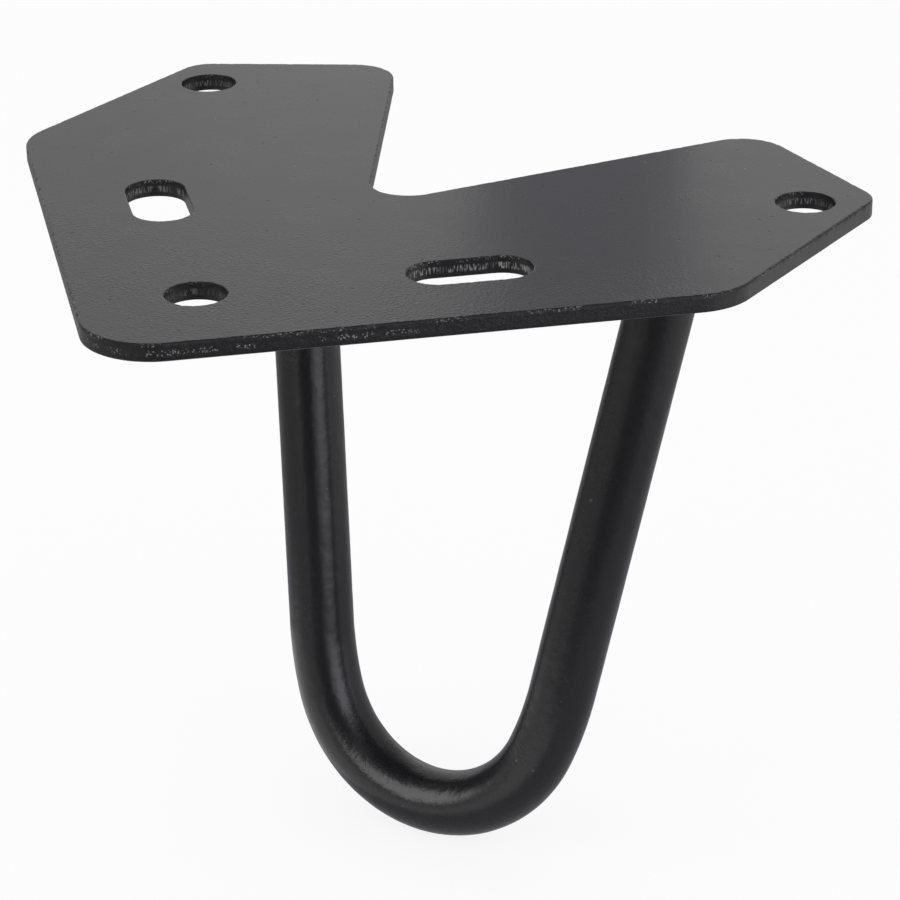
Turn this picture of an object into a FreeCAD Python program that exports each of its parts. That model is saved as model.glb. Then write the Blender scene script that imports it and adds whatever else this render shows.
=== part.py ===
"""Short hairpin table leg: a laser-cut steel plate with a bent round rod welded under it.

Millimetres, +Z up. The origin is the centre of the corner screw hole, on the plate's top face,
which is the face that lies against the underside of the table. The plate's two outer edges run
along +X and +Y, and the part is symmetrical about the diagonal between them.
"""

import FreeCAD, Part
import math
import os

from FreeCAD import Vector

# Plate: a corner plate with two arms, cut from sheet
PLATE_THICKNESS = 3.0
ARM_EDGE = 100.0            # straight outer edge, from the sharp outer corner to the chamfer
CHAMFER_RUN = 35.5          # how far the 45 degree chamfer runs along and across the arm
NOTCH_APEX = 52.2           # sharp inner corner of the notch, from each outer edge
ARM_FLARE_DEG = 15.0        # how much each inner edge opens away from the outer edge's direction
OUTER_CORNER_RADIUS = 12.0
CHAMFER_RADIUS = 12.0
TIP_RADIUS = 6.0
INNER_SHOULDER_RADIUS = 8.0
NOTCH_RADIUS = 6.5
EDGE_ROUND = 0.3            # edge break all round the plate, as tumbled and coated

# Screw holes and slots, placed from the sharp outer corner
HOLE_DIAMETER = 9.8
CORNER_HOLE_INSET = 19.0    # from both outer edges
TIP_HOLE_ALONG = 123.0
TIP_HOLE_ACROSS = 36.2
SLOT_LENGTH = 20.2
SLOT_WIDTH = 10.0
SLOT_ALONG = 62.5           # centre of the slot along the outer edge
SLOT_INSET = 19.0           # centre line of the slot from the outer edge

# Rod: one round bar bent to a narrow U, whose plane leans out towards the corner of the table
ROD_DIAMETER = 12.0
LEG_HEIGHT = 127.0          # from the top face down to the lowest point of the bend
ROD_SPREAD = 80.8           # between the centres of the two rod ends, at the plate
ROD_ENDS_REACH = 110.5      # from the sharp outer corner along the diagonal to the line of the ends
ROD_FOOT_REACH = 89.2       # the same, to the lowest point of the bend's centre line
BEND_RADIUS = 24.5          # centre line of the bend round the former
EASE_RADIUS = 64.0          # the bar straightens through this larger radius on each side
EASE_ANGLE_DEG = 11.5

# Fillet weld round each end of the rod
WELD_LEG = 4.0              # how far the weld reaches along the plate and down the rod
WELD_LIP = 0.35             # blunt rim where the weld ends on the rod
WELD_CROWN = 0.5            # how far the weld's face swells past a flat one
WELD_SECTIONS = 5           # outlines from the plate down to the rim, joined by straight faces

DIAGONAL = Vector(1, 1, 0).normalize()
ACROSS = Vector(1, -1, 0).normalize()
DOWN = Vector(0, 0, -1)
SHARP_CORNER = Vector(-CORNER_HOLE_INSET, -CORNER_HOLE_INSET, 0)
UNDERSIDE = -PLATE_THICKNESS


def from_corner(along, across, z=0.0):
    """A point given from the sharp outer corner: along the +X arm, then across it."""
    return SHARP_CORNER + Vector(along, across, z)


def on_other_arm(point):
    """The same point on the +Y arm, mirrored in the diagonal."""
    return Vector(point.y, point.x, point.z)


def rounded_outline(corners):
    """A closed wire of straight edges, from (corner, radius) pairs, with every corner rounded."""
    starts, arcs, ends = [], [], []
    for i, (corner, radius) in enumerate(corners):
        back = (corners[i - 1][0] - corner).normalize()
        ahead = (corners[(i + 1) % len(corners)][0] - corner).normalize()
        half_angle = back.getAngle(ahead) / 2
        setback = radius / math.tan(half_angle)
        bisector = (back + ahead).normalize()
        nearest = corner + bisector * (radius / math.sin(half_angle) - radius)
        starts.append(corner + back * setback)
        ends.append(corner + ahead * setback)
        arcs.append(Part.Arc(starts[-1], nearest, ends[-1]).toShape())
    edges = []
    for i, arc in enumerate(arcs):
        edges += [arc, Part.makeLine(ends[i], starts[(i + 1) % len(arcs)])]
    return Part.Wire(edges)


def plate_outline():
    """The plate's outer edge, at the underside: two mirrored arms with a notch between them."""
    corner = from_corner(0, 0, UNDERSIDE)
    chamfer_start = from_corner(ARM_EDGE, 0, UNDERSIDE)
    tip = from_corner(ARM_EDGE + CHAMFER_RUN, CHAMFER_RUN, UNDERSIDE)
    apex = from_corner(NOTCH_APEX, NOTCH_APEX, UNDERSIDE)
    flare = math.radians(ARM_FLARE_DEG)
    inner_edge = Vector(math.cos(flare), math.sin(flare), 0)
    # the arm's end is square to its inner edge, so the shoulder is where the tip projects on it
    shoulder = apex + inner_edge * (tip - apex).dot(inner_edge)
    arm = [
        (chamfer_start, CHAMFER_RADIUS),
        (tip, TIP_RADIUS),
        (shoulder, INNER_SHOULDER_RADIUS),
    ]
    other_arm = [(on_other_arm(point), radius) for point, radius in reversed(arm)]
    return rounded_outline(
        [(corner, OUTER_CORNER_RADIUS)] + arm + [(apex, NOTCH_RADIUS)] + other_arm
    )


def through_hole(centre):
    return Part.makeCylinder(HOLE_DIAMETER / 2, PLATE_THICKNESS, centre)


def through_slot():
    """The slot of the +X arm, running along the outer edge."""
    radius = SLOT_WIDTH / 2
    reach = SLOT_LENGTH / 2 - radius
    centre = from_corner(SLOT_ALONG, SLOT_INSET, UNDERSIDE)
    along, across = Vector(1, 0, 0), Vector(0, 1, 0)

    def corner(end, side):
        return centre + along * end * reach + across * side * radius

    edges = [
        Part.makeLine(corner(-1, -1), corner(1, -1)),
        Part.Arc(corner(1, -1), centre + along * (reach + radius), corner(1, 1)).toShape(),
        Part.makeLine(corner(1, 1), corner(-1, 1)),
        Part.Arc(corner(-1, 1), centre - along * (reach + radius), corner(-1, -1)).toShape(),
    ]
    return Part.Face(Part.Wire(edges)).extrude(Vector(0, 0, PLATE_THICKNESS))


def mounting_plate():
    """The sheet-metal plate with its three screw holes and two slots."""
    blank = Part.Face(plate_outline()).extrude(Vector(0, 0, PLATE_THICKNESS))
    rim = [edge for edge in blank.Edges if abs(edge.BoundBox.ZLength) < PLATE_THICKNESS / 2]
    plate = blank.makeFillet(EDGE_ROUND, rim)
    tip_hole = from_corner(TIP_HOLE_ALONG, TIP_HOLE_ACROSS, UNDERSIDE)
    slot = through_slot()
    openings = [
        through_hole(from_corner(CORNER_HOLE_INSET, CORNER_HOLE_INSET, UNDERSIDE)),
        through_hole(tip_hole),
        through_hole(on_other_arm(tip_hole)),
        slot,
        slot.mirror(Vector(), ACROSS),
    ]
    return plate.cut(openings)


def rod_frame():
    """The rod's own plane: the middle of its two ends, the direction down the plane, its length."""
    middle = SHARP_CORNER + DIAGONAL * ROD_ENDS_REACH + DOWN * PLATE_THICKNESS
    foot = SHARP_CORNER + DIAGONAL * ROD_FOOT_REACH + DOWN * (LEG_HEIGHT - ROD_DIAMETER / 2)
    return middle, (foot - middle).normalize(), (foot - middle).Length


def leg_lean():
    """How far each straight leg leans from the middle line of the U, in radians.

    The straight leg is tangent to the easing arc, which is tangent to the bend, and it has to meet
    the plate at half the rod's spread."""
    length = rod_frame()[2]
    bend_centre = length - BEND_RADIUS
    ease = math.radians(EASE_ANGLE_DEG)
    offset = EASE_RADIUS - (EASE_RADIUS - BEND_RADIUS) * math.cos(ease)
    diagonal = math.hypot(ROD_SPREAD / 2, bend_centre)
    return math.acos(offset / diagonal) - math.atan2(bend_centre, ROD_SPREAD / 2)


def rod_path(overrun):
    """Centre line of the rod: straight leg, easing arc, bend, easing arc, straight leg.

    Both ends run on past the plate's underside by the overrun."""
    middle, down, length = rod_frame()
    lean = leg_lean()
    ease = math.radians(EASE_ANGLE_DEG)
    bend_centre = length - BEND_RADIUS

    def at(side, across, below):
        return middle + ACROSS * side * across + down * below

    def on_bend(side, angle):
        across = BEND_RADIUS * math.cos(angle)
        return at(side, across, bend_centre + BEND_RADIUS * math.sin(angle))

    def on_ease(side, angle):
        shift = EASE_RADIUS - BEND_RADIUS
        across = EASE_RADIUS * math.cos(angle) - shift * math.cos(lean + ease)
        below = bend_centre + EASE_RADIUS * math.sin(angle) - shift * math.sin(lean + ease)
        return at(side, across, below)

    def half(side):
        end = at(side, ROD_SPREAD / 2 + overrun * math.sin(lean), -overrun * math.cos(lean))
        leg = Part.makeLine(end, on_ease(side, lean))
        points = [on_ease(side, lean + ease * share) for share in (0, 0.5, 1)]
        return [leg, Part.Arc(*points).toShape()]

    start, finish = on_bend(1, lean + ease), on_bend(-1, lean + ease)
    bend = Part.Arc(start, at(1, 0, length), finish).toShape()
    return Part.Wire(half(1) + [bend] + half(-1)[::-1])


def rod_blank():
    """The bent bar before its ends are cut, long enough to run right through the plate."""
    path = rod_path(overrun=ROD_DIAMETER)
    start = path.Edges[0]
    direction = start.tangentAt(start.FirstParameter)
    section = Part.makeCircle(ROD_DIAMETER / 2, start.valueAt(start.FirstParameter), direction)
    return path.makePipe(Part.Face(Part.Wire(section)))


def hairpin_rod(blank):
    """The bent bar with both ends cut flush to the plate's underside."""
    reach = ROD_ENDS_REACH + ROD_SPREAD
    above = Part.makeBox(reach, reach, 2 * ROD_DIAMETER, from_corner(0, 0, UNDERSIDE))
    return blank.cut(above)


def weld_bead(blank):
    """Fillet weld round the rod's end on the +X arm, crowned, seated on the plate and the rod.

    Its sections are ellipses in planes parallel to the plate, each centred on the leaning leg.
    Straight faces join them, so that the crown is a few narrow bands."""
    middle, down, _ = rod_frame()
    lean = leg_lean()
    leg = down * math.cos(lean) - ACROSS * math.sin(lean)
    end = middle + ACROSS * (ROD_SPREAD / 2)
    slope = Vector(leg.x, leg.y, 0).normalize()
    radius = ROD_DIAMETER / 2
    sections = []
    for i in range(WELD_SECTIONS):
        share = i / (WELD_SECTIONS - 1)
        crown = 4 * WELD_CROWN * share * (1 - share)
        width = WELD_LIP + (WELD_LEG - WELD_LIP) * (1 - share) + crown
        centre = end + leg * (share * WELD_LEG / abs(leg.z))
        along = centre + slope * (radius / abs(leg.z) + width)
        beside = centre + DOWN.cross(slope) * (radius + width)
        sections.append(Part.Wire(Part.Ellipse(along, beside, centre).toShape()))
    return Part.makeLoft(sections, True, True).cut(blank)


blank = rod_blank()
bead = weld_bead(blank)
pieces = {
    "mounting_plate": mounting_plate(),
    "hairpin_rod": hairpin_rod(blank),
    "weld_bead_right": bead,
    "weld_bead_left": bead.mirror(Vector(), ACROSS),
}

os.makedirs("parts", exist_ok=True)
for name, piece in pieces.items():
    piece.exportStep("parts/" + name + ".step")
    print(name, "solids", len(piece.Solids), "valid", piece.isValid(), "mm3", round(piece.Volume, 1))
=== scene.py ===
import math

import bpy
import numpy as np
from mathutils import Euler, Matrix, Vector, noise
from mathutils.geometry import delaunay_2d_cdt


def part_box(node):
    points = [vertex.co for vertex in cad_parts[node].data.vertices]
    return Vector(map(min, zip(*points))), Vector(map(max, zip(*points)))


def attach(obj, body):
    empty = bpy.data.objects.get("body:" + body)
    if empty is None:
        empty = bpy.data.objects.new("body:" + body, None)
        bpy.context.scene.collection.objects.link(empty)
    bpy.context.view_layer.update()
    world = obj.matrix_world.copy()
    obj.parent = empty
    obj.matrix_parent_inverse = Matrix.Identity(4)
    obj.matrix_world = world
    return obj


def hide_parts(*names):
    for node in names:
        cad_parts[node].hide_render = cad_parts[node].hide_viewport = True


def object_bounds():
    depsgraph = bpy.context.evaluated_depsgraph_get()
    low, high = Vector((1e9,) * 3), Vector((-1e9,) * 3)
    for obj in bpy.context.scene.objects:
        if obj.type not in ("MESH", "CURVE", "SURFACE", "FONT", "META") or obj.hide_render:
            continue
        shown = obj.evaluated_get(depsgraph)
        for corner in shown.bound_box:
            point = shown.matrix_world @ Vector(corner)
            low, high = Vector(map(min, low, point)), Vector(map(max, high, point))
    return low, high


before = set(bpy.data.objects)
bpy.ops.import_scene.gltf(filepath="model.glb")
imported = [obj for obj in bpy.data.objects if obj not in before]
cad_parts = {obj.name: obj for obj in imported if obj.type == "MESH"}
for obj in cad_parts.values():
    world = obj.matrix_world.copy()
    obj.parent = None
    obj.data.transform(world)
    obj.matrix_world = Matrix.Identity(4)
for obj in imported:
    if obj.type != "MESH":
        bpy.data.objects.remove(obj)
cad_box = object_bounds()


# Mounting plate: 3 mm steel sheet cut to a corner with two arms, with three screw holes and two
# slots cut through it. Its edges are broken by tumbling, and it is powder coated in satin black.
# It screws up against the underside of the table, and the leg is welded under it.
MM = 0.001
plate_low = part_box("mounting_plate")[0]
SHARP_CORNER = np.array([plate_low.x, plate_low.y]) / MM
UNDERSIDE = plate_low.z / MM
ARM_EDGE = 100.0
CHAMFER_RUN = 35.5
NOTCH_APEX = 52.2
ARM_FLARE = math.radians(15.0)
CORNER_RADIUS = 12.0
CHAMFER_RADIUS = 12.0
TIP_RADIUS = 6.0
SHOULDER_RADIUS = 8.0
NOTCH_RADIUS = 6.5
OUTLINE_STEP = 0.34         # spacing of the points round the plate's edges
EDGE_ROUND = 0.3            # the outline's edges, as tumbled and coated
OPENING_ROUND = 0.18        # the edges of the holes and slots
HOLE_RADIUS = 4.9
TIP_HOLE = np.array([123.0, 36.2])
SLOT_CENTRE = np.array([62.5, 19.0])
SLOT_RADIUS = 5.0
SLOT_REACH = 5.1            # from a slot's centre to the centre of each round end
RIM_ROWS = 5                # rows of points round each rounded rim of a cut edge
WALL_ROWS = 9               # rows between the rims, which are the first and the last of them
SCORE_DEPTH = 0.02
WAVE_DEPTH = 0.03
NIBBLE_DEPTH = 0.45
NIBBLE_REACH = 0.45         # how far below the top face the nibbles fade out
FACE_SETBACK = 0.11         # keeps the flat faces' border clear of the scores and the wave
FACE_NIBBLE_DEPTH = 0.7
CAP_NET = 4.0               # spacing of the points over the two flat faces
CAP_NET_ROW = 0.87 * CAP_NET            # between the net's rows, for even triangles


def unit(vector):
    return vector / np.linalg.norm(vector)


def rounded_loop(corners):
    """Points all round an outline of (corner, radius) pairs, anticlockwise and evenly spaced."""
    arcs = []
    for i, (corner, radius) in enumerate(corners):
        back = unit(corners[i - 1][0] - corner)
        ahead = unit(corners[(i + 1) % len(corners)][0] - corner)
        half_angle = math.acos(back @ ahead) / 2
        centre = corner + unit(back + ahead) * radius / math.sin(half_angle)
        start = corner + back * radius / math.tan(half_angle) - centre
        end = corner + ahead * radius / math.tan(half_angle) - centre
        turn = math.atan2(start[0] * end[1] - start[1] * end[0], start @ end)
        angles = math.atan2(start[1], start[0]) + turn * np.linspace(
            0, 1, round(abs(turn) * radius / OUTLINE_STEP) + 1)
        arcs.append(centre + radius * np.stack([np.cos(angles), np.sin(angles)], 1))
    points = []
    for i, arc in enumerate(arcs):
        run = arcs[(i + 1) % len(arcs)][0] - arc[-1]
        shares = np.linspace(0, 1, round(np.linalg.norm(run) / OUTLINE_STEP) + 1)[1:-1]
        points += [arc, arc[-1] + run * shares[:, None]]
    return np.concatenate(points)


def opening_loop(centre, radius, reach=0.0):
    """Points round a hole, or round a slot whose end centres lie the reach to each side along X."""
    half_turn = np.linspace(-0.5, 0.5, round(math.pi * radius / OUTLINE_STEP) + 1) * math.pi
    points = []
    for side in (1, -1):
        end = centre + radius * side * np.stack([np.cos(half_turn), np.sin(half_turn)], 1)
        end[:, 0] += side * reach
        points.append(end if reach else end[:-1])
        if reach:
            shares = np.linspace(0, 1, round(2 * reach / OUTLINE_STEP) + 1)[1:-1]
            points.append(end[-1] - np.outer(shares, [side * 2 * reach, 0]))
    return np.concatenate(points)


def on_other_arm(loop):
    """The same loop on the +Y arm, mirrored in the diagonal and still anticlockwise."""
    return loop[::-1, ::-1]


def lumps(points, size, seed=0.0):
    """Smooth noise between 0 and 1 at points in mm. Its lumps have the given size along X, Y, Z."""
    places = points / np.array(size) + seed
    return np.array([0.5 + 0.5 * noise.noise(Vector(place)) for place in places])


def cut_edge(loop, side, edge_round):
    """Rows of points down a cut edge, from the top face to the underside. Side is 1 where the steel
    lies inside the loop, and -1 round an opening. The cut has fine upright scores, a slow wave and
    a nibbled top edge, and all of them go into the steel."""
    ahead = np.roll(loop, -1, 0) - np.roll(loop, 1, 0)
    out = side * np.stack([ahead[:, 1], -ahead[:, 0]], 1) / np.linalg.norm(ahead, axis=1)[:, None]
    bends = np.linspace(0, math.pi / 2, RIM_ROWS)
    rim_insets = edge_round * (1 - np.sin(bends))
    drops = edge_round * (1 - np.cos(bends))
    wall = np.linspace(-edge_round, UNDERSIDE + edge_round, WALL_ROWS)[1:-1]
    heights = np.concatenate([-drops, wall, UNDERSIDE + drops[::-1]])
    insets = np.concatenate([rim_insets, 0 * wall, rim_insets[::-1]])
    made = []
    for height, inset in zip(heights, insets):
        at = np.concatenate([loop, np.full((len(loop), 1), height)], 1)
        scores = SCORE_DEPTH * (lumps(at, (0.55, 0.55, 9.0)) + lumps(at, (1.3, 1.3, 5.0), 7.3))
        wave = WAVE_DEPTH * lumps(at, (6.0, 6.0, 8.0), 3.1)
        near_top = math.exp(-(height / NIBBLE_REACH) ** 2)
        nibbles = near_top * np.clip(lumps(at, (0.8, 0.8, 0.6), 5.7) - 0.5, 0, 1)
        depth = inset + scores + wave + NIBBLE_DEPTH * nibbles
        if height in (0.0, UNDERSIDE):
            depth = edge_round + FACE_SETBACK + FACE_NIBBLE_DEPTH * nibbles
        made.append(np.concatenate([loop - out * depth[:, None], at[:, 2:]], 1))
    return np.array(made)


def quad_rows(first, rows, columns, side=1, closed=False):
    """Faces of a grid of points, whose columns run round a loop. Closed joins the last row up."""
    faces = []
    for i in range(rows if closed else rows - 1):
        above, below = first + i * columns, first + (i + 1) % rows * columns
        for j in range(columns):
            k = (j + 1) % columns
            quad = (above + j, below + j, below + k, above + k)
            faces.append(quad[::side])
    return faces


def piece_mesh(name, points, smooth_faces, flat_faces=()):
    """A new object from points in mm, with smooth faces and then flat ones."""
    mesh = bpy.data.meshes.new(name)
    mesh.from_pydata((np.asarray(points) * MM).tolist(), [], [*smooth_faces, *flat_faces])
    shading = [True] * len(smooth_faces) + [False] * len(flat_faces)
    mesh.polygons.foreach_set("use_smooth", shading)
    mesh.update()
    piece = bpy.data.objects.new(name, mesh)
    bpy.context.scene.collection.objects.link(piece)
    return piece


def in_steel(places, starts, ends):
    """Which places lie in the plate: a line from them crosses its edges an odd number of times."""
    x, y = places[:, :1], places[:, 1:2]
    rise = ends[:, 1] - starts[:, 1]
    spans = (starts[:, 1] > y) != (ends[:, 1] > y)
    crossing = starts[:, 0] + (ends[:, 0] - starts[:, 0]) * (y - starts[:, 1]) / np.where(
        spans, rise, 1)
    return np.count_nonzero(spans & (x < crossing), axis=1) % 2 == 1


def flat_cap(points, rings, up):
    """Triangles over the face between an outer ring of point numbers and the rings inside it.
    A coarse net of new points, added to the end of the points, keeps them well shaped."""
    border = [number for ring in rings for number in ring]
    edges = []
    for ring in rings:
        start = len(edges)
        edges += [(start + i, start + (i + 1) % len(ring)) for i in range(len(ring))]
    border_places = np.array([points[number][:2] for number in border])
    starts, ends = border_places[[a for a, b in edges]], border_places[[b for a, b in edges]]
    low, high = border_places.min(0), border_places.max(0)
    net = np.array([
        (x + CAP_NET / 2 * (row % 2), y)
        for row, y in enumerate(np.arange(low[1], high[1], CAP_NET_ROW))
        for x in np.arange(low[0], high[0], CAP_NET)
    ])
    net = net[in_steel(net, starts, ends)]
    numbers = [*border, *range(len(points), len(points) + len(net))]
    points += [[*place, points[border[0]][2]] for place in net]
    places = np.concatenate([border_places, net])
    found = delaunay_2d_cdt([Vector(place) for place in places], edges, [], 1, 1e-6)
    faces = [[min(found[3][number]) for number in face] for face in found[2]]
    kept = in_steel(np.array([places[face].mean(0) for face in faces]), starts, ends)
    return [tuple(numbers[i] for i in face[::up]) for face, keep in zip(faces, kept) if keep]


corner = np.array([0.0, 0.0])
chamfer_start = np.array([ARM_EDGE, 0.0])
tip = np.array([ARM_EDGE + CHAMFER_RUN, CHAMFER_RUN])
apex = np.array([NOTCH_APEX, NOTCH_APEX])
inner_edge = np.array([math.cos(ARM_FLARE), math.sin(ARM_FLARE)])
shoulder = apex + inner_edge * ((tip - apex) @ inner_edge)
arm = [(chamfer_start, CHAMFER_RADIUS), (tip, TIP_RADIUS), (shoulder, SHOULDER_RADIUS)]
other_arm = [(place[::-1], radius) for place, radius in reversed(arm)]
outline = rounded_loop([(corner, CORNER_RADIUS), *arm, (apex, NOTCH_RADIUS), *other_arm])
tip_hole = opening_loop(TIP_HOLE, HOLE_RADIUS)
slot = opening_loop(SLOT_CENTRE, SLOT_RADIUS, SLOT_REACH)
corner_hole = opening_loop(-SHARP_CORNER, HOLE_RADIUS)
cuts = [                    # (points, side of the steel, edge rounding, share of painted highlight streaks on its wall)
    (outline, 1, EDGE_ROUND, 0.04),
    (corner_hole, -1, OPENING_ROUND, 0.45),
    (tip_hole, -1, OPENING_ROUND, 0.6),
    (on_other_arm(tip_hole), -1, OPENING_ROUND, 0.5),
    (slot, -1, OPENING_ROUND, 1.4),
    (on_other_arm(slot), -1, OPENING_ROUND, 0.55),
]

plate_points, plate_walls, wall_glint_shares = [], [], []
top_rings, bottom_rings = [], []
for loop, side, edge_round, wall_glint_share in cuts:
    rows = cut_edge(SHARP_CORNER + loop, side, edge_round)
    wall_glint_shares += [wall_glint_share] * rows[..., 0].size
    first, count = len(plate_points), len(loop)
    plate_points += rows.reshape(-1, 3).tolist()
    plate_walls += quad_rows(first, len(rows), count, side)
    top_rings.append(range(first, first + count))
    bottom_rings.append(range(first + (len(rows) - 1) * count, first + len(rows) * count))
plate_caps = flat_cap(plate_points, top_rings, 1) + flat_cap(plate_points, bottom_rings, -1)
coated_plate = piece_mesh("coated_plate", plate_points, plate_walls, plate_caps)
wall_glint_shares += [0.0] * (len(plate_points) - len(wall_glint_shares))       # the flat faces get no painted highlight streaks
coated_plate.data.attributes.new("wall_glint_share", "FLOAT", "POINT").data.foreach_set(
    "value", wall_glint_shares)


class Wire:
    """A socket of a material's nodes. Sums and products of wires add the Math nodes they need.
    Without a socket it only starts a tree."""

    def __init__(self, tree, socket=None):
        self.tree = tree
        self.socket = socket

    def node(self, kind, settings=None, values=None, output=0):
        """Adds a node, with its settings first and then a value or a wire on its sockets."""
        made = self.tree.nodes.new(kind)
        for name, setting in (settings or {}).items():
            setattr(made, name, setting)
        for name, value in (values or {}).items():
            if isinstance(value, Wire):
                self.tree.links.new(value.socket, made.inputs[name])
            else:
                made.inputs[name].default_value = value
        return Wire(self.tree, made.outputs[output]) if len(made.outputs) else None

    def maths(self, operation, first, second):
        return self.node("ShaderNodeMath", {"operation": operation}, {0: first, 1: second})

    def __add__(self, other):
        return self.maths("ADD", self, other)

    def __radd__(self, other):
        return self.maths("ADD", other, self)

    def __sub__(self, other):
        return self.maths("SUBTRACT", self, other)

    def __rsub__(self, other):
        return self.maths("SUBTRACT", other, self)

    def __mul__(self, other):
        return self.maths("MULTIPLY", self, other)

    def __rmul__(self, other):
        return self.maths("MULTIPLY", other, self)

    def between(self, low, high):
        """0 up to low, 1 from high on, and a smooth step from one to the other."""
        return self.node(
            "ShaderNodeMapRange",
            {"interpolation_type": "SMOOTHSTEP"},
            {"Value": self, "From Min": low, "From Max": high},
        )


class Coat:
    """Satin black powder coat: a dark resin film that flowed out to a fine orange peel, with pits
    where gas came through it and paler grains that didn't melt in."""

    def __init__(self, name):
        self.material = bpy.data.materials.new(name)
        self.material.use_nodes = True
        self.material.node_tree.nodes.clear()
        self.start = Wire(self.material.node_tree)
        self.place = self.start.node("ShaderNodeTexCoord", output="Object")

    def stretched(self, size):
        """The place in the row frame, counted in lumps of the given size in mm."""
        shares = [1 / (length * MM) for length in size]
        return self.start.node(
            "ShaderNodeVectorMath", {"operation": "MULTIPLY"}, {0: self.place, 1: shares})

    def noise(self, size, detail=1.0, roughness=0.5):
        return self.start.node(
            "ShaderNodeTexNoise", {}, {
                "Vector": self.stretched(size), "Scale": 1.0,
                "Detail": detail, "Roughness": roughness,
            })

    def grains(self, size, share, radius=0.3):
        """A mask of small round spots, one in the given share of cells of the given size."""
        cells = {"Vector": self.stretched((size, size, size)), "Scale": 1.0}
        distance = self.start.node("ShaderNodeTexVoronoi", {}, cells, output="Distance")
        colour = self.start.node("ShaderNodeTexVoronoi", {}, cells, output="Color")
        chosen = self.start.node("ShaderNodeSeparateColor", {}, {"Color": colour}, output="Red")
        spot = 1 - distance.between(radius * 0.5, radius * 1.2)
        return spot * chosen.between(1 - share, 1 - share + 0.01)

    def along(self, axis):
        """The place along one axis of the row frame, in mm."""
        return self.start.node(
            "ShaderNodeSeparateXYZ", {}, {0: self.stretched((1, 1, 1))}, output=axis)

    def upright(self, low=0.25, high=0.6):
        """1 on faces that stand upright, such as cut edges, and 0 on flat ones."""
        facing = self.start.node("ShaderNodeTexCoord", output="Normal")
        rise = self.start.node("ShaderNodeSeparateXYZ", {}, {0: facing}, output="Z")
        return 1 - self.start.maths("ABSOLUTE", rise, 0.0).between(low, high)

    def finish(self, base, pale_colour, pale_share, roughness, height):
        """Joins the maps to the surface. Height is in metres. The Mix node takes its factor at
        socket 0 and its two colours at 6 and 7, and gives the colour at output 2."""
        colour = self.start.node(
            "ShaderNodeMix", {"data_type": "RGBA"},
            {0: pale_share, 6: (*base, 1.0), 7: (*pale_colour, 1.0)}, output=2)
        normal = self.start.node("ShaderNodeBump", {}, {
            "Strength": 1.0, "Distance": 1.0, "Height": height})
        surface = self.start.node("ShaderNodeBsdfPrincipled", {}, {
            "Base Color": colour, "Roughness": roughness, "Normal": normal, "IOR": 1.45})
        self.start.node("ShaderNodeOutputMaterial", {}, {"Surface": surface})
        return self.material


coat = Coat("satin_black_coat_on_sheet")
along, across, depth = coat.along("X"), coat.along("Y"), 0 - coat.along("Z")
on_cut = coat.upright()
coarse = 1 - (across + 0.6 * along).between(5, 52)      # the coat is coarser near the corner
lumpy = coat.noise((0.62, 0.62, 0.62), 2.0, 0.6)
swells = coat.noise((2.2, 2.2, 2.2), 1.0)
patches = coat.noise((11.0, 11.0, 11.0), 1.0).between(0.38, 0.62)
pits = coat.grains(2.2, 0.26, 0.11)
grains = coat.grains(3.1, 0.07, 0.07)
streaks = coat.noise((0.24, 0.24, 1.5), 1.0)
crumbs = coat.grains(0.40, 0.8, 0.40)
specks = coat.noise((0.34, 0.34, 0.26), 1.0)
# pale marks on the cut walls: paler crumbs in a band at mid-depth near the corner, and painted
# highlights as streaks down the walls and specks along their top rim
wall_glint_share = coat.start.node(
    "ShaderNodeAttribute", {"attribute_name": "wall_glint_share"}, output="Fac")
crumb_band_near_corner = depth.between(1.0, 1.3) * (1 - depth.between(1.8, 2.2)) * (
    1 - (along + 2.2 * across).between(-16, -6)) * coat.noise((4.0, 4.0, 30.0)).between(0.40, 0.52)
# painted highlight: pale specks along the top rim of the cut walls stand in for the glints of the
# rounded edge
rim_glint_band = (1 - depth.between(0.4, 0.75)) * coat.noise((7.0, 7.0, 7.0)).between(0.43, 0.60)
# painted highlight: pale streaks down the cut walls stand in for the glints of the cut faces, more
# of them on some openings than others
wall_glint_band = depth.between(0.9, 1.3) * (1 - depth.between(1.9, 2.3)) * (
    0.25 + 0.75 * coat.noise((2.6, 2.6, 30.0)).between(0.38, 0.56))
crumbs_and_glints = on_cut * (
    0.8 * crumbs * crumb_band_near_corner
    + streaks.between(0.48, 0.62) * wall_glint_band * wall_glint_share
) + 0.75 * coat.upright(0.84, 0.98) * specks.between(0.57, 0.66) * rim_glint_band
cloud = coat.noise((9.0, 9.0, 9.0), 2.0)
coated_plate.data.materials.append(coat.finish(
    base=(0.0100, 0.0099, 0.0109),
    pale_colour=(0.205, 0.205, 0.211),
    # the pale colour goes on the random grains, on the paler crumbs near the corner, and as painted
    # highlights on the cut walls and along their top rim
    pale_share=grains * 0.5 + crumbs_and_glints * 0.9,
    roughness=0.24 + 0.05 * cloud + 0.03 * lumpy + 0.06 * on_cut,
    height=(9e-6 + 46e-6 * coarse * (0.35 + 0.65 * patches)) * lumpy.between(0.35, 0.85)
    + (8e-6 + 14e-6 * coarse) * swells - 90e-6 * pits + 16e-6 * grains
    + on_cut * (6e-6 * streaks + 14e-6 * crumbs),
))
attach(coated_plate, "root")
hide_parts("mounting_plate")


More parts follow.
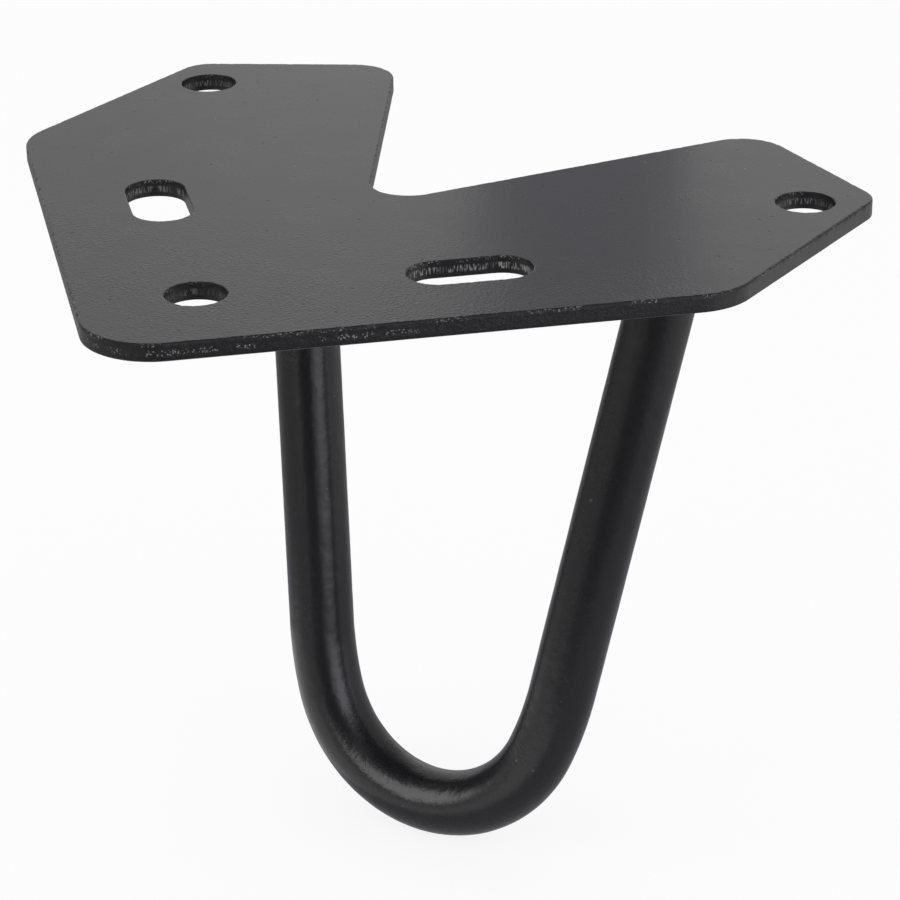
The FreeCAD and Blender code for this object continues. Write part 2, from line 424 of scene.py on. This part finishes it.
# Leg: one 12 mm round steel bar, cold bent to a narrow U round a 24.5 mm former. It straightens
# through a larger radius on each side. Its plane leans out towards the corner of the table, and
# both ends are cut flush to the plate.
ROD_RADIUS = 6.0
ROD_SPREAD = 80.8
ROD_ENDS_REACH = 110.5      # from the sharp outer corner along the diagonal to the line of the ends
ROD_FOOT_REACH = 89.2       # the same, to the lowest point of the bend's centre line
BEND_RADIUS = 24.5
EASE_RADIUS = 64.0
EASE_ANGLE = math.radians(11.5)
ROD_SIDES = 96
ROD_STEP = 0.42             # spacing of the rings along the bar
BROAD_DENT = 0.05
SMALL_DENT = 0.02
DIAGONAL = unit(np.array([1.0, 1.0, 0.0]))
ACROSS = unit(np.array([1.0, -1.0, 0.0]))
foot_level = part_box("hairpin_rod")[0].z / MM + ROD_RADIUS
corner_point = np.array([*SHARP_CORNER, 0.0])
rod_middle = corner_point + DIAGONAL * ROD_ENDS_REACH + [0, 0, UNDERSIDE]
rod_foot = corner_point + DIAGONAL * ROD_FOOT_REACH + [0, 0, foot_level]
rod_length = np.linalg.norm(rod_foot - rod_middle)
down = (rod_foot - rod_middle) / rod_length
rod_face = np.cross(down, ACROSS)
bend_centre = rod_length - BEND_RADIUS
ease_shift = EASE_RADIUS - BEND_RADIUS
lean = math.acos(
    (EASE_RADIUS - ease_shift * math.cos(EASE_ANGLE)) / math.hypot(ROD_SPREAD / 2, bend_centre)
) - math.atan2(bend_centre, ROD_SPREAD / 2)


def on_ease(angle):
    """Across and down the bar's plane, at that angle of the easing arc."""
    across = EASE_RADIUS * math.cos(angle) - ease_shift * math.cos(bend_start)
    below = bend_centre + EASE_RADIUS * math.sin(angle) - ease_shift * math.sin(bend_start)
    return across, below


def shares_along(length):
    """Even shares from 0 to 1 along a stretch of the bar, one for each ring."""
    return np.linspace(0, 1, round(length / ROD_STEP) + 1)


bend_start = lean + EASE_ANGLE
bend_turn = math.pi / 2 - bend_start
leg_foot, leg_end = on_ease(lean)
leg_run = math.dist((leg_foot, leg_end), (ROD_SPREAD / 2, 0))
half_rod = []               # (across, below, angle of the outward direction, share of the mitre)
for share in shares_along(leg_run):
    across = ROD_SPREAD / 2 + (leg_foot - ROD_SPREAD / 2) * share
    half_rod.append((across, leg_end * share, lean, 1 - share))
for share in shares_along(EASE_RADIUS * EASE_ANGLE)[1:]:
    angle = lean + EASE_ANGLE * share
    half_rod.append((*on_ease(angle), angle, 0))
for share in shares_along(BEND_RADIUS * bend_turn)[1:]:
    angle = bend_start + bend_turn * share
    half_rod.append((
        BEND_RADIUS * math.cos(angle), bend_centre + BEND_RADIUS * math.sin(angle), angle, 0))
whole_rod = half_rod + [
    (-across, below, math.pi - angle, mitre) for across, below, angle, mitre in half_rod[-2::-1]]

turns = np.linspace(0, 2 * math.pi, ROD_SIDES, endpoint=False)
rod_rings = []
for across, below, angle, mitre in whole_rod:
    centre = rod_middle + ACROSS * across + down * below
    out = ACROSS * math.cos(angle) + down * math.sin(angle)
    leg = -ACROSS * math.sin(angle) + down * math.cos(angle)
    ring = centre + ROD_RADIUS * (np.outer(np.cos(turns), out) + np.outer(np.sin(turns), rod_face))
    dents = BROAD_DENT * lumps(ring, (3.2, 3.2, 5.0)) + SMALL_DENT * lumps(
        ring, (1.3, 1.3, 1.3), 4.1)
    ring += (centre - ring) / ROD_RADIUS * dents[:, None]
    if mitre:
        ring += np.outer((centre[2] - ring[:, 2]) / leg[2] * mitre, leg)
    rod_rings.append(ring)
rod_points = np.concatenate(rod_rings)
rod_sides = quad_rows(0, len(rod_rings), ROD_SIDES)
last_ring = (len(rod_rings) - 1) * ROD_SIDES
rod_ends = [tuple(range(ROD_SIDES)), tuple(range(last_ring, last_ring + ROD_SIDES))[::-1]]
coated_rod = piece_mesh("bent_rod_coated", rod_points, rod_sides, rod_ends)

coat = Coat("satin_black_coat_on_bar")
on_bend = 1 - coat.along("Z").between(-112, -92)    # rubbed coarser by the former
lumpy = coat.noise((0.75, 0.75, 0.75), 2.0, 0.6)
swells = coat.noise((1.9, 1.9, 2.8), 1.0)
pits = coat.grains(2.8, 0.12, 0.10)
grains = coat.grains(2.6, 0.14, 0.11)
cloud = coat.noise((12.0, 12.0, 12.0), 2.0)
coated_rod.data.materials.append(coat.finish(
    base=(0.0077, 0.0076, 0.0087),
    pale_colour=(0.128, 0.128, 0.132),
    pale_share=grains * 0.4,
    roughness=0.24 + 0.05 * cloud + 0.03 * lumpy,
    height=(20e-6 + 34e-6 * on_bend) * lumpy + 70e-6 * swells - 45e-6 * pits + 12e-6 * grains,
))
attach(coated_rod, "root")
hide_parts("hairpin_rod")


# Welds: one fillet round each end of the bar, laid in overlapping puddles that leave curved
# ripples, wire brushed and coated with the rest. They hold the bar under the plate.
WELD_LEG = 4.0
WELD_LIP = 0.35
WELD_CROWN = 0.5
WELD_ROWS = 26
WELD_SIDES = 300
PUDDLE_PITCH = 1.7          # distance from one ripple to the next
RIPPLE_BOW = 3.4            # how far a ripple curves back at the weld's two rims, in radians
RIPPLE_DEPTH = 0.22
TOE_WAVE = 0.5              # how far the weld's edge wanders on the plate


def weld_rings(side):
    """Closed rings of points for the weld on the arm at that side: down its crowned face, across
    the blunt rim and back up along the bar. Ripples and a wavy toe go into the metal."""
    end = rod_middle + ACROSS * side * ROD_SPREAD / 2
    leg = down * math.cos(lean) - ACROSS * side * math.sin(lean)
    slope = unit(np.array([leg[0], leg[1], 0.0]))
    beside = np.array([-slope[1], slope[0], 0.0])
    turns = np.linspace(0, 2 * math.pi, WELD_SIDES, endpoint=False)

    def ring(share, width):
        long_radius = ROD_RADIUS / abs(leg[2]) + width
        around = np.outer(np.cos(turns) * long_radius, slope)
        around += np.outer(np.sin(turns) * (ROD_RADIUS + width), beside)
        return end + leg * share * WELD_LEG / abs(leg[2]) + around

    rings = []
    for share in np.linspace(0, 1, WELD_ROWS):
        crown = 4 * WELD_CROWN * share * (1 - share)
        width = WELD_LIP + (WELD_LEG - WELD_LIP) * (1 - share) + crown
        puddles = round(2 * math.pi * (ROD_RADIUS + WELD_LEG / 2) / PUDDLE_PITCH)
        phase = turns * puddles + RIPPLE_BOW * (2 * share - 1) ** 2
        phase = phase + 1.3 * (lumps(ring(share, width), (4.0, 4.0, 4.0), 2.0) - 0.5)
        ripple = (1 - np.abs(np.sin(phase / 2))) ** 2
        depth = RIPPLE_DEPTH * ripple * math.sin(math.pi * (0.12 + 0.85 * share))
        toe = TOE_WAVE * lumps(ring(share, width), (2.2, 2.2, 2.2), 9.0) * (1 - share)
        rings.append(ring(share, width - depth - toe))
    return rings + [ring(share, 0.0) for share in (1, 0.5, 0)]


for side, name, node in ((1, "weld_ripples_right", "weld_bead_right"),
                         (-1, "weld_ripples_left", "weld_bead_left")):
    rings = weld_rings(side)
    faces = quad_rows(0, len(rings), WELD_SIDES, 1, closed=True)
    weld = piece_mesh(name, np.concatenate(rings), faces)
    coat = Coat("satin_black_coat_on_" + name)
    peel = coat.noise((1.0, 1.0, 1.0), 2.0, 0.6)
    spatter = coat.grains(1.6, 0.10, 0.2)
    cloud = coat.noise((5.0, 5.0, 5.0), 2.0)
    weld.data.materials.append(coat.finish(
        base=(0.0080, 0.0080, 0.0087),
        pale_colour=(0.039, 0.039, 0.040),
        pale_share=spatter * 0.4,
        roughness=0.34 + 0.08 * cloud + 0.05 * peel,
        height=22e-6 * peel + 40e-6 * spatter,
    ))
    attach(weld, "root")
    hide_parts(node)


# Studio: a wide pale floor, on which the leg stands, under a white surrounding, with a large
# softbox on each side of the camera.
FLOOR_HALF = 6.0
FLOOR_COLOUR = (0.95, 0.95, 0.95, 1.0)
FLOOR_GLOW = 0.85           # the even white share of the floor's look. The rest takes shadow
SKY_LIGHT = 0.8             # the surrounding's light on the leg. It is seen as plain white
WHITE = (1.0, 1.0, 1.0)
COOL = (0.98, 0.96, 1.06)   # the faint blue of the photograph's darker reflections


def shown_directly(start):
    """1 where the camera sees a surface, straight, mirrored or through glass, and 0 for light."""
    rays = [start.node("ShaderNodeLightPath", output=f"Is {kind} Ray")
            for kind in ("Camera", "Glossy", "Transmission")]
    return start.maths("MAXIMUM", start.maths("MAXIMUM", rays[0], rays[1]), rays[2])


floor_z = cad_box[0].z
bpy.ops.mesh.primitive_grid_add(
    x_subdivisions=8, y_subdivisions=8, size=2 * FLOOR_HALF, location=(0, 0, floor_z))
floor = bpy.context.object
floor.name = "pale_floor"
floor_material = bpy.data.materials.new("pale_floor")
floor_material.use_nodes = True
floor_material.node_tree.nodes.clear()
start = Wire(floor_material.node_tree)
matt = start.node("ShaderNodeBsdfDiffuse", {}, {"Color": FLOOR_COLOUR})
glow = start.node("ShaderNodeEmission", {}, {"Color": (*WHITE, 1.0), "Strength": 1.0})
floor_surface = start.node(
    "ShaderNodeMixShader", {}, {0: shown_directly(start) * FLOOR_GLOW, 1: matt, 2: glow})
start.node("ShaderNodeOutputMaterial", {}, {"Surface": floor_surface})
floor_material.cycles.emission_sampling = "NONE"
floor.data.materials.append(floor_material)

world = bpy.data.worlds.new("white_surrounding")
bpy.context.scene.world = world
world.use_nodes = True
world.node_tree.nodes.clear()
start = Wire(world.node_tree)
backdrop = start.node("ShaderNodeBackground", {}, {
    "Color": (*WHITE, 1.0),
    "Strength": SKY_LIGHT + (1 - SKY_LIGHT) * shown_directly(start),
})
start.node("ShaderNodeOutputWorld", {}, {"Surface": backdrop})

OBJECT_CENTRE = Vector((0.048, 0.048, -0.06))


def toward(azimuth, elevation, distance, middle=OBJECT_CENTRE):
    """A place at that distance from the middle of the leg. Azimuth 0 is behind it, 90 right."""
    around, above = math.radians(azimuth), math.radians(elevation)
    direction = Vector((
        math.sin(around) * math.cos(above), math.cos(around) * math.cos(above), math.sin(above)))
    return middle + direction * distance, direction


def card(name, azimuth, elevation, distance, width, height, level, middle=OBJECT_CENTRE,
         tint=WHITE):
    """An even card that only reflections see. It stands for what surrounds the leg in the studio,
    and neither lights the leg nor takes light from it."""
    place, direction = toward(azimuth, elevation, distance, middle)
    mesh = bpy.data.meshes.new(name)
    x, y = width / 2, height / 2
    mesh.from_pydata([(-x, -y, 0), (x, -y, 0), (x, y, 0), (-x, y, 0)], [], [(0, 1, 2, 3)])
    made = bpy.data.objects.new(name, mesh)
    made.location = place
    made.rotation_mode = "QUATERNION"
    made.rotation_quaternion = direction.to_track_quat("Z", "Y")
    made.visible_camera = made.visible_diffuse = made.visible_shadow = False
    material = bpy.data.materials.new(name)
    material.use_nodes = True
    material.node_tree.nodes.clear()
    start = Wire(material.node_tree)
    even = start.node("ShaderNodeEmission", {}, {"Color": (*tint, 1.0), "Strength": level})
    start.node("ShaderNodeOutputMaterial", {}, {"Surface": even})
    material.cycles.emission_sampling = "NONE"
    mesh.materials.append(material)
    bpy.context.scene.collection.objects.link(made)


LAMP_SHARE = 0.42           # a softbox's light against its face, for a plain level of light


def softbox(name, azimuth, elevation, distance, width, height, radiance, tint=WHITE):
    """A softbox that faces the leg: a lamp for its light, and a card that reflections see."""
    place, direction = toward(azimuth, elevation, distance)
    lamp = bpy.data.lights.new(name, "AREA")
    lamp.shape, lamp.size, lamp.size_y = "RECTANGLE", width, height
    lamp.energy = LAMP_SHARE * radiance * math.pi * width * height
    lamp.color = tint
    made = bpy.data.objects.new(name, lamp)
    made.location = place
    made.rotation_mode = "QUATERNION"
    made.rotation_quaternion = direction.to_track_quat("Z", "Y")
    made.visible_camera = made.visible_glossy = False
    bpy.context.scene.collection.objects.link(made)
    card(name + "_face", azimuth, elevation, distance, width, height, radiance, tint=tint)


softbox("softbox_left", azimuth=-103, elevation=25, distance=0.8, width=0.70, height=0.56,
        radiance=3.6)
softbox("softbox_right", azimuth=147, elevation=22, distance=0.8, width=0.66, height=0.62,
        radiance=2.9, tint=COOL)
card("card_overhead", azimuth=0, elevation=89.9, distance=0.95, width=1.9, height=1.9, level=0.05)

TALL_CARD = {"elevation": 25, "distance": 1.0, "height": 1.4}
for name, azimuth, width, level, tint in [      # all round the leg
    ("card_behind_right", 19, 0.50, 0.92, WHITE),
    ("card_behind", -9, 0.56, 0.80, WHITE),
    ("card_right", 70, 1.42, 0.60, WHITE),
    ("card_right_front", 144, 1.30, 1.35, COOL),
    ("card_camera_side", -155, 0.85, 0.045, WHITE),
    ("card_left", -103, 1.05, 0.05, WHITE),
    ("card_behind_left", -49, 0.95, 0.08, WHITE),
]:
    card(name, azimuth, width=width, level=level, tint=tint, **TALL_CARD)

BEHIND_ARM = Vector((0.066, 0.017, 0.13))       # for the darker part of the +X arm's top face
card("card_behind_arm", azimuth=14.17, elevation=0, distance=0.15, width=0.044, height=0.26,
     level=0.49, middle=BEHIND_ARM, tint=COOL)

ABOVE_PLATE = Vector((0.05, 0.02, 0.126))
for name, azimuth, distance, width, level in [  # they keep the softboxes out of the top face
    ("card_beside_left", -90, 0.12, 0.26, 0.30),
    ("card_before", 180, 0.09, 0.30, 0.50),
    ("card_beside_right", 90, 0.12, 0.20, 0.60),
]:
    card(name, azimuth, 0, distance, width, 0.25, level, middle=ABOVE_PLATE)

STRAIGHT_DOWN = -89.99
SHEET_GAP = 0.0005          # between one sheet and the next, so that none lies in another
sheets = [                  # cards laid on the floor, with their middles that far away
    ("sheet_around", 0, 0.0, 2.4, 2.4, 0.40, WHITE),
    ("sheet_right", 104, 0.45, 0.56, 0.50, 0.80, WHITE),
    ("sheet_in_front", 194, 0.33, 0.30, 0.34, 0.08, WHITE),
    ("sheet_under_leg", 0, 0.0, 0.30, 0.30, 0.47, COOL),
    ("sheet_left", -105, 0.085, 0.16, 0.13, 1.1, WHITE),
]
for i, (name, azimuth, away, width, length, level, tint) in enumerate(sheets):
    drop = OBJECT_CENTRE.z - floor_z - SHEET_GAP * (i + 1)
    middle = toward(azimuth, 0, away)[0]
    card(name, azimuth, STRAIGHT_DOWN, drop, width, length, level, middle, tint)


# Camera: a long lens a little above the plate, at the corner's left front. Its angles, place and
# lens come from a fit of the leg's outline to the photograph.
CAMERA_LENS = 131.002
CAMERA_AZIMUTH = math.radians(-11.8613)
CAMERA_ELEVATION = math.radians(24.3528)
CAMERA_ROLL = math.radians(-0.6252)
SEEN_POINT = Vector((31.0, 31.0, 0.0))                      # on the plate's top face, in mm
FROM_SEEN_POINT = Vector((15.5494, -39.5771, 540.1213))     # to the right of it, up and back, in mm
lens = bpy.data.cameras.new("camera")
lens.sensor_width = 36.0
lens.lens = CAMERA_LENS
camera = bpy.data.objects.new("camera", lens)
aim = Euler((math.pi / 2 - CAMERA_ELEVATION, 0.0, CAMERA_AZIMUTH)).to_matrix()
aim @= Matrix.Rotation(CAMERA_ROLL, 3, "Z")
place = SEEN_POINT + aim @ FROM_SEEN_POINT
camera.matrix_world = Matrix.Translation(place * MM) @ aim.to_4x4()
lens.clip_start, lens.clip_end = 0.01, 50.0
bpy.context.scene.collection.objects.link(camera)
bpy.context.scene.camera = camera

bpy.context.scene.view_settings.view_transform = "Standard"
